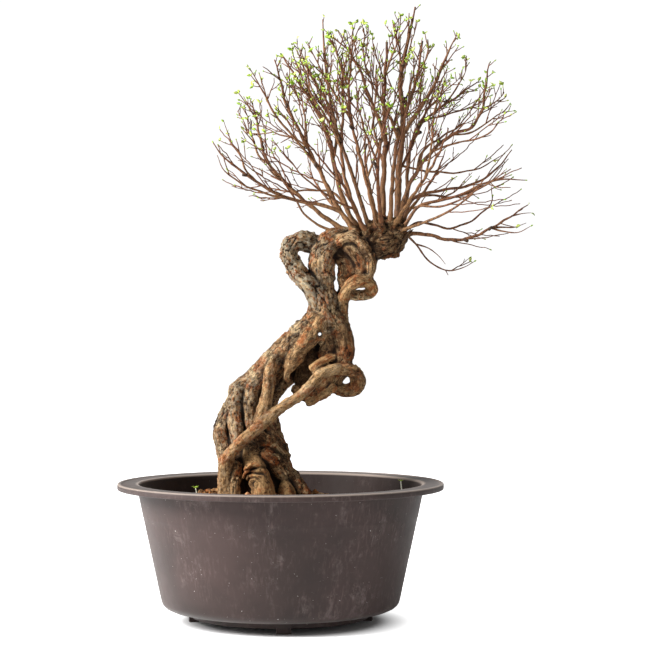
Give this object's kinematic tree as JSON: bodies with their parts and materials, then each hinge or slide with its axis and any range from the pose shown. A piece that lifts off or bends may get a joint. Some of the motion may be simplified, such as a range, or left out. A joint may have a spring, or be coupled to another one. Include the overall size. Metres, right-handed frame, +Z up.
{
  "type": "bonsai tree",
  "caption": "Leafless-looking elm bonsai with braided exposed roots and a dome of fine twigs, standing in a round plastic training pot full of granular soil.",
  "frame": {"origin": "middle of the whole footprint, pot and crown together, on the surface that the pot's feet stand on", "axes": "+Z up, +X towards the side that the crown leans to, -Y towards the side seen in the picture; the pot's own axis stands about 39.4 mm to the -X side of the origin"},
  "size_m": [0.3588, 0.28, 0.5339],
  "materials": {
    "pot": "scuffed mauve-brown plastic with a slight sheen",
    "drainage_mesh": "matt black plastic",
    "soil": "loose baked clay and bark grains, 2 to 6 mm",
    "bark": "rough furrowed bark, tan to dark brown, smooth on the younger roots",
    "twig": "smooth reddish-brown young bark with lime-green opening buds",
    "leaf": "soft green young leaf"
  },
  "bodies": {
    "root": {"pot": "pot", "drainage_mesh": "drainage_mesh", "soil": "soil", "trunk": "bark", "branch_01": "twig", "branch_02": "twig", "branch_03": "twig", "branch_04": "twig", "branch_05": "twig", "branch_06": "twig", "branch_07": "twig", "branch_08": "twig", "branch_09": "twig", "branch_10": "twig", "branch_11": "twig", "branch_12": "twig", "branch_13": "twig", "branch_14": "twig", "branch_15": "twig", "branch_16": "twig", "branch_17": "twig", "branch_18": "twig", "branch_19": "twig", "branch_20": "twig", "branch_21": "twig", "branch_22": "twig", "branch_23": "twig", "branch_24": "twig", "branch_25": "twig", "seedling": "leaf", "sprout": "leaf"}
  },
  "joints": []
}
